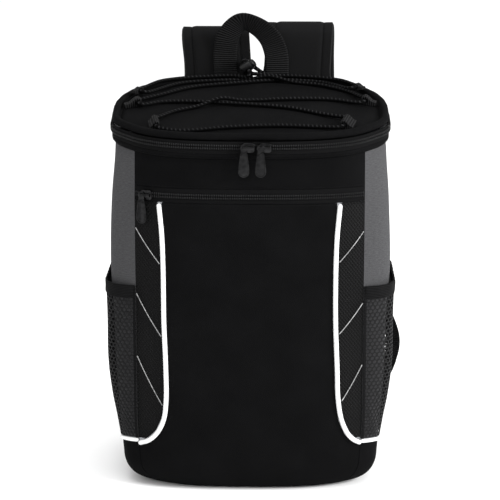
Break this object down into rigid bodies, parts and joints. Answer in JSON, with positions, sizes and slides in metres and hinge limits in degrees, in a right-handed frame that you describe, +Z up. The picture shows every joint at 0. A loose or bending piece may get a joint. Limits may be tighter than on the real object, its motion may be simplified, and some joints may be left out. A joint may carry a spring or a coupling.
{
  "type": "cooler backpack",
  "caption": "Soft cooler backpack: insulated tub with a zipped lid laced in bungee cord, a zipped front pocket, net side pockets, a grab handle and padded shoulder straps.",
  "frame": {"origin": "middle of the base, on the floor", "axes": "+Z up, -Y towards the front pocket, +X to the right as seen from the front"},
  "size_m": [0.305, 0.2298, 0.4637],
  "materials": {
    "black_cloth": "woven nylon, matt",
    "diamond_cloth": "woven diamond mesh over nylon",
    "grey_cloth": "plain woven polyester, matt",
    "net_cloth": "knitted net, matt",
    "white_piping": "smooth piping",
    "webbing": "ribbed webbing",
    "zip_coil": "coil zip",
    "gunmetal": "glossy dark plated zinc",
    "gloss_plastic": "moulded, glossy",
    "cord": "braided elastic cord with a pale tracer",
    "foam": "closed foam with a wipe-clean lining"
  },
  "bodies": {
    "bag": {"back_panel": "black_cloth", "base_panel": "black_cloth", "bungee_cord": "cord", "cord_lock_barrel": "gloss_plastic", "cord_loop_front_left": "webbing", "cord_loop_front_right": "webbing", "cord_loop_middle_left": "webbing", "cord_loop_middle_right": "webbing", "cord_loop_rear_left": "webbing", "cord_loop_rear_right": "webbing", "front_piping_left": "white_piping", "front_piping_right": "white_piping", "front_pocket_panel": "black_cloth", "front_wing_left": "diamond_cloth", "front_wing_right": "diamond_cloth", "front_yoke": "black_cloth", "grab_handle": "webbing", "insulated_tub": "foam", "ladder_lock_left": "gloss_plastic", "ladder_lock_right": "gloss_plastic", "lid_edge_roll": "black_cloth", "lid_gusset": "black_cloth", "lid_hinge": "black_cloth", "lid_panel": "black_cloth", "lid_zip_coil": "zip_coil", "lid_zip_tape": "black_cloth", "mesh_pocket_left": "net_cloth", "mesh_pocket_right": "net_cloth", "pocket_binding_left": "webbing", "pocket_binding_right": "webbing", "pocket_zip_coil": "zip_coil", "pocket_zip_tape": "black_cloth", "shoulder_strap_left": "black_cloth", "shoulder_strap_right": "black_cloth", "side_boot_left": "black_cloth", "side_boot_right": "black_cloth", "side_panel_left": "grey_cloth", "side_panel_right": "grey_cloth", "side_piping_left": "white_piping", "side_piping_right": "white_piping", "slider_left": "gunmetal", "slider_pocket": "gunmetal", "slider_right": "gunmetal", "strap_webbing_left": "webbing", "strap_webbing_right": "webbing", "wing_cord_left_1": "white_piping", "wing_cord_left_2": "white_piping", "wing_cord_left_3": "white_piping", "wing_cord_right_1": "white_piping", "wing_cord_right_2": "white_piping", "wing_cord_right_3": "white_piping"},
    "left_pull": {"puller_left": "gunmetal"},
    "right_pull": {"puller_right": "gunmetal"},
    "pocket_pull": {"puller_pocket": "gunmetal"},
    "lock_button": {"cord_lock_button": "gloss_plastic"}
  },
  "joints": [
    {"name": "left_pull_swing", "type": "hinge", "parent": "bag", "child": "left_pull", "pos_m": [-0.0052, -0.09558, 0.35665], "axis": [0, -1, 0], "range_deg": [-90, 5]},
    {"name": "right_pull_swing", "type": "hinge", "parent": "bag", "child": "right_pull", "pos_m": [0.01114, -0.09557, 0.35666], "axis": [0.0087, -1, 0], "range_deg": [-5, 55]},
    {"name": "pocket_pull_swing", "type": "hinge", "parent": "bag", "child": "pocket_pull", "pos_m": [-0.10591, -0.07886, 0.30655], "axis": [-0.3691, -0.9294, 0], "range_deg": [-90, 55]},
    {"name": "lock_button_press", "type": "slide", "parent": "bag", "child": "lock_button", "axis": [-0.8216, 0.1002, -0.5611], "range_m": [0, 0.0025], "stiffness_N_per_m": 400}
  ]
}
